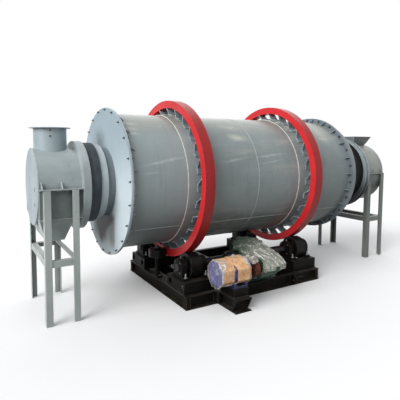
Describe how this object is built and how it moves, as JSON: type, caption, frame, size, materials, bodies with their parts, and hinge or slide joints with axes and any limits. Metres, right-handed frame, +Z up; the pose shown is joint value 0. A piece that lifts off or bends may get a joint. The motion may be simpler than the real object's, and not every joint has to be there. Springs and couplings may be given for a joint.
{
  "type": "rotary drum dryer",
  "caption": "Rotary drum dryer: a steel drum on riding tyres and rollers, driven by a motor and gear reducer, between a feed hood and a discharge hood on legs.",
  "frame": {"origin": "on the floor under the middle of the drum, at the underside of the base frame's middle cross beam", "axes": "+X along the drum axis towards the feed end, +Y away from the drive side, +Z up"},
  "size_m": [5.1709, 2.0574, 2.2639],
  "materials": {
    "drum_paint": "blue-grey gloss paint with dust",
    "end_plate_paint": "pale blue-grey paint",
    "neck_paint": "light grey paint",
    "feed_neck_paint": "dark grey paint",
    "tyre_paint": "bright red gloss paint",
    "spring_paint": "blue-grey paint",
    "frame_paint": "black satin paint",
    "roller_paint": "black-painted casting",
    "shaft_steel": "dark turned steel",
    "reducer_paint": "green paint",
    "motor_paint": "blue paint",
    "cardboard": "brown wrapping cardboard",
    "coupling_rust": "red-brown primer",
    "hood_paint": "blue-grey paint",
    "seal_rubber": "black rubber",
    "bolt_zinc": "zinc-plated steel",
    "bolt_dark": "dark painted steel",
    "weld_seam": "painted weld bead",
    "wrap_film": "clear wrapping film"
  },
  "bodies": {
    "plant": {"base_frame": "frame_paint", "lifting_lugs": "frame_paint", "outrigger": "frame_paint", "motor_stool": "frame_paint", "pedestals": "frame_paint", "roller_bearings": "frame_paint", "thrust_posts": "frame_paint", "gear_reducer": "reducer_paint", "motor": "motor_paint", "motor_card_wraps": "cardboard", "discharge_hood_plate": "end_plate_paint", "discharge_hood_cover": "hood_paint", "discharge_hood_box": "hood_paint", "discharge_hopper": "hood_paint", "discharge_spout": "hood_paint", "discharge_seal_casing": "neck_paint", "discharge_seal_band": "seal_rubber", "discharge_stand": "hood_paint", "feed_hood_plate": "hood_paint", "feed_hood_cover": "hood_paint", "feed_hood_trough": "hood_paint", "feed_hopper": "hood_paint", "feed_seal_casing": "hood_paint", "feed_seal_band": "seal_rubber", "feed_stand": "hood_paint"},
    "drum": {"drum_shell": "drum_paint", "discharge_rim_flange": "drum_paint", "discharge_end_plate": "end_plate_paint", "discharge_neck": "neck_paint", "feed_rim_flange": "drum_paint", "feed_end_cap": "drum_paint", "feed_neck": "feed_neck_paint", "tyre_pads": "drum_paint", "discharge_tyre": "tyre_paint", "feed_tyre": "tyre_paint", "discharge_tyre_springs": "spring_paint", "feed_tyre_springs": "spring_paint"},
    "drive_rollers": {"drive_shaft": "shaft_steel", "front_discharge_roller": "roller_paint", "front_feed_roller": "roller_paint"},
    "rear_discharge_idler": {"rear_discharge_roller": "roller_paint"},
    "rear_feed_idler": {"rear_feed_roller": "roller_paint"},
    "outer_thrust": {"outer_thrust_roller": "roller_paint"},
    "inner_thrust": {"inner_thrust_roller": "roller_paint"},
    "motor_shaft": {"motor_coupling": "coupling_rust"}
  },
  "joints": [
    {"name": "drum_spin", "type": "hinge", "parent": "plant", "child": "drum", "pos_m": [0, 0, 1.33156], "axis": [1, 0, 0], "continuous": true},
    {"name": "drive_shaft_spin", "type": "hinge", "parent": "plant", "child": "drive_rollers", "pos_m": [0, -0.52614, 0.394], "axis": [1, 0, 0], "continuous": true},
    {"name": "rear_discharge_roller_spin", "type": "hinge", "parent": "plant", "child": "rear_discharge_idler", "pos_m": [-0.793, 0.52614, 0.394], "axis": [1, 0, 0], "continuous": true},
    {"name": "rear_feed_roller_spin", "type": "hinge", "parent": "plant", "child": "rear_feed_idler", "pos_m": [0.793, 0.52614, 0.394], "axis": [1, 0, 0], "continuous": true},
    {"name": "outer_thrust_roller_spin", "type": "hinge", "parent": "plant", "child": "outer_thrust", "pos_m": [-0.9553, 0, 0.43426], "axis": [0, 0, 1], "continuous": true},
    {"name": "inner_thrust_roller_spin", "type": "hinge", "parent": "plant", "child": "inner_thrust", "pos_m": [-0.6307, 0, 0.43426], "axis": [0, 0, 1], "continuous": true},
    {"name": "motor_shaft_spin", "type": "hinge", "parent": "plant", "child": "motor_shaft", "pos_m": [-0.23, -0.94114, 0.394], "axis": [1, 0, 0], "continuous": true}
  ],
  "couplings": [
    {"joint": "drive_shaft_spin", "follows": "drum_spin", "ratio": -6.5425},
    {"joint": "rear_discharge_roller_spin", "follows": "drum_spin", "ratio": -6.5425},
    {"joint": "rear_feed_roller_spin", "follows": "drum_spin", "ratio": -6.5425},
    {"joint": "outer_thrust_roller_spin", "follows": "drum_spin", "ratio": 8.712},
    {"joint": "inner_thrust_roller_spin", "follows": "drum_spin", "ratio": -8.712},
    {"joint": "motor_shaft_spin", "follows": "drum_spin", "ratio": -206.09}
  ]
}
